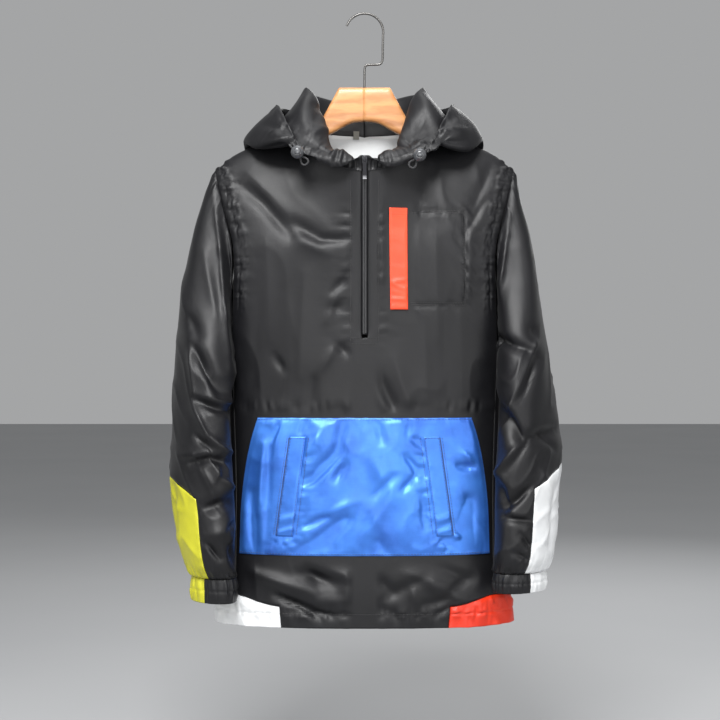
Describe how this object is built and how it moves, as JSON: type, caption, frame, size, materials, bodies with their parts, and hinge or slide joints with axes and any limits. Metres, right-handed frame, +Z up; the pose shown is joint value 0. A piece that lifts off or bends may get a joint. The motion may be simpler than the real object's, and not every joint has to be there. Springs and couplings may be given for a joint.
{
  "type": "windbreaker jacket on a hanger",
  "caption": "Hooded pullover windbreaker with a half zip, a front pouch pocket, coloured insets and drawcord locks, hung on a wooden hanger.",
  "frame": {"origin": "inside top of the hanger's hook, where it rests on a rail", "axes": "+Z up, -Y out of the jacket's front, +X towards the wearer's left"},
  "size_m": [0.5618, 0.2485, 0.8793],
  "materials": {
    "black_cloth": "satin woven nylon",
    "white_cloth": "satin woven nylon",
    "blue_cloth": "satin woven nylon",
    "orange_cloth": "woven nylon",
    "yellow_cloth": "woven nylon",
    "cord": "braided elastic",
    "black_plastic": "gloss",
    "black_metal": "satin",
    "hook_steel": "bright",
    "hanger_wood": "clear varnish"
  },
  "bodies": {
    "jacket": {"back_panel": "black_cloth", "front_panel": "black_cloth", "chest_strip": "orange_cloth", "cord_lock_left": "black_plastic", "cord_lock_right": "black_plastic", "cord_loop_left": "cord", "cord_loop_right": "cord", "cuff_inset_left": "white_cloth", "cuff_inset_right": "yellow_cloth", "cuff_left": "black_cloth", "cuff_right": "black_cloth", "hanger_hook": "hook_steel", "hanger_wood": "hanger_wood", "hem_inset_left": "orange_cloth", "hem_inset_right": "white_cloth", "hood_left": "black_cloth", "hood_right": "black_cloth", "neck_lining": "white_cloth", "pocket_panel": "blue_cloth", "sleeve_inset_left": "white_cloth", "sleeve_inset_right": "yellow_cloth", "sleeve_left": "black_cloth", "sleeve_right": "black_cloth", "welt_left": "blue_cloth", "welt_right": "blue_cloth", "zip_slider": "black_metal", "zip_tape": "black_cloth"},
    "pull_tab": {"zip_pull_tab": "black_metal"},
    "plunger_left": {"lock_plunger_left": "black_plastic"},
    "plunger_right": {"lock_plunger_right": "black_plastic"}
  },
  "joints": [
    {"name": "pull_tab_swing", "type": "hinge", "parent": "jacket", "child": "pull_tab", "pos_m": [0, -0.0759, -0.2205], "axis": [-1, 0, 0], "range_deg": [0, 150]},
    {"name": "plunger_left_press", "type": "slide", "parent": "jacket", "child": "plunger_left", "axis": [0, 1, 0], "range_m": [0, 0.0032], "stiffness_N_per_m": 300, "springref_m": -0.002},
    {"name": "plunger_right_press", "type": "slide", "parent": "jacket", "child": "plunger_right", "axis": [0, 1, 0], "range_m": [0, 0.0032], "stiffness_N_per_m": 300, "springref_m": -0.002}
  ]
}
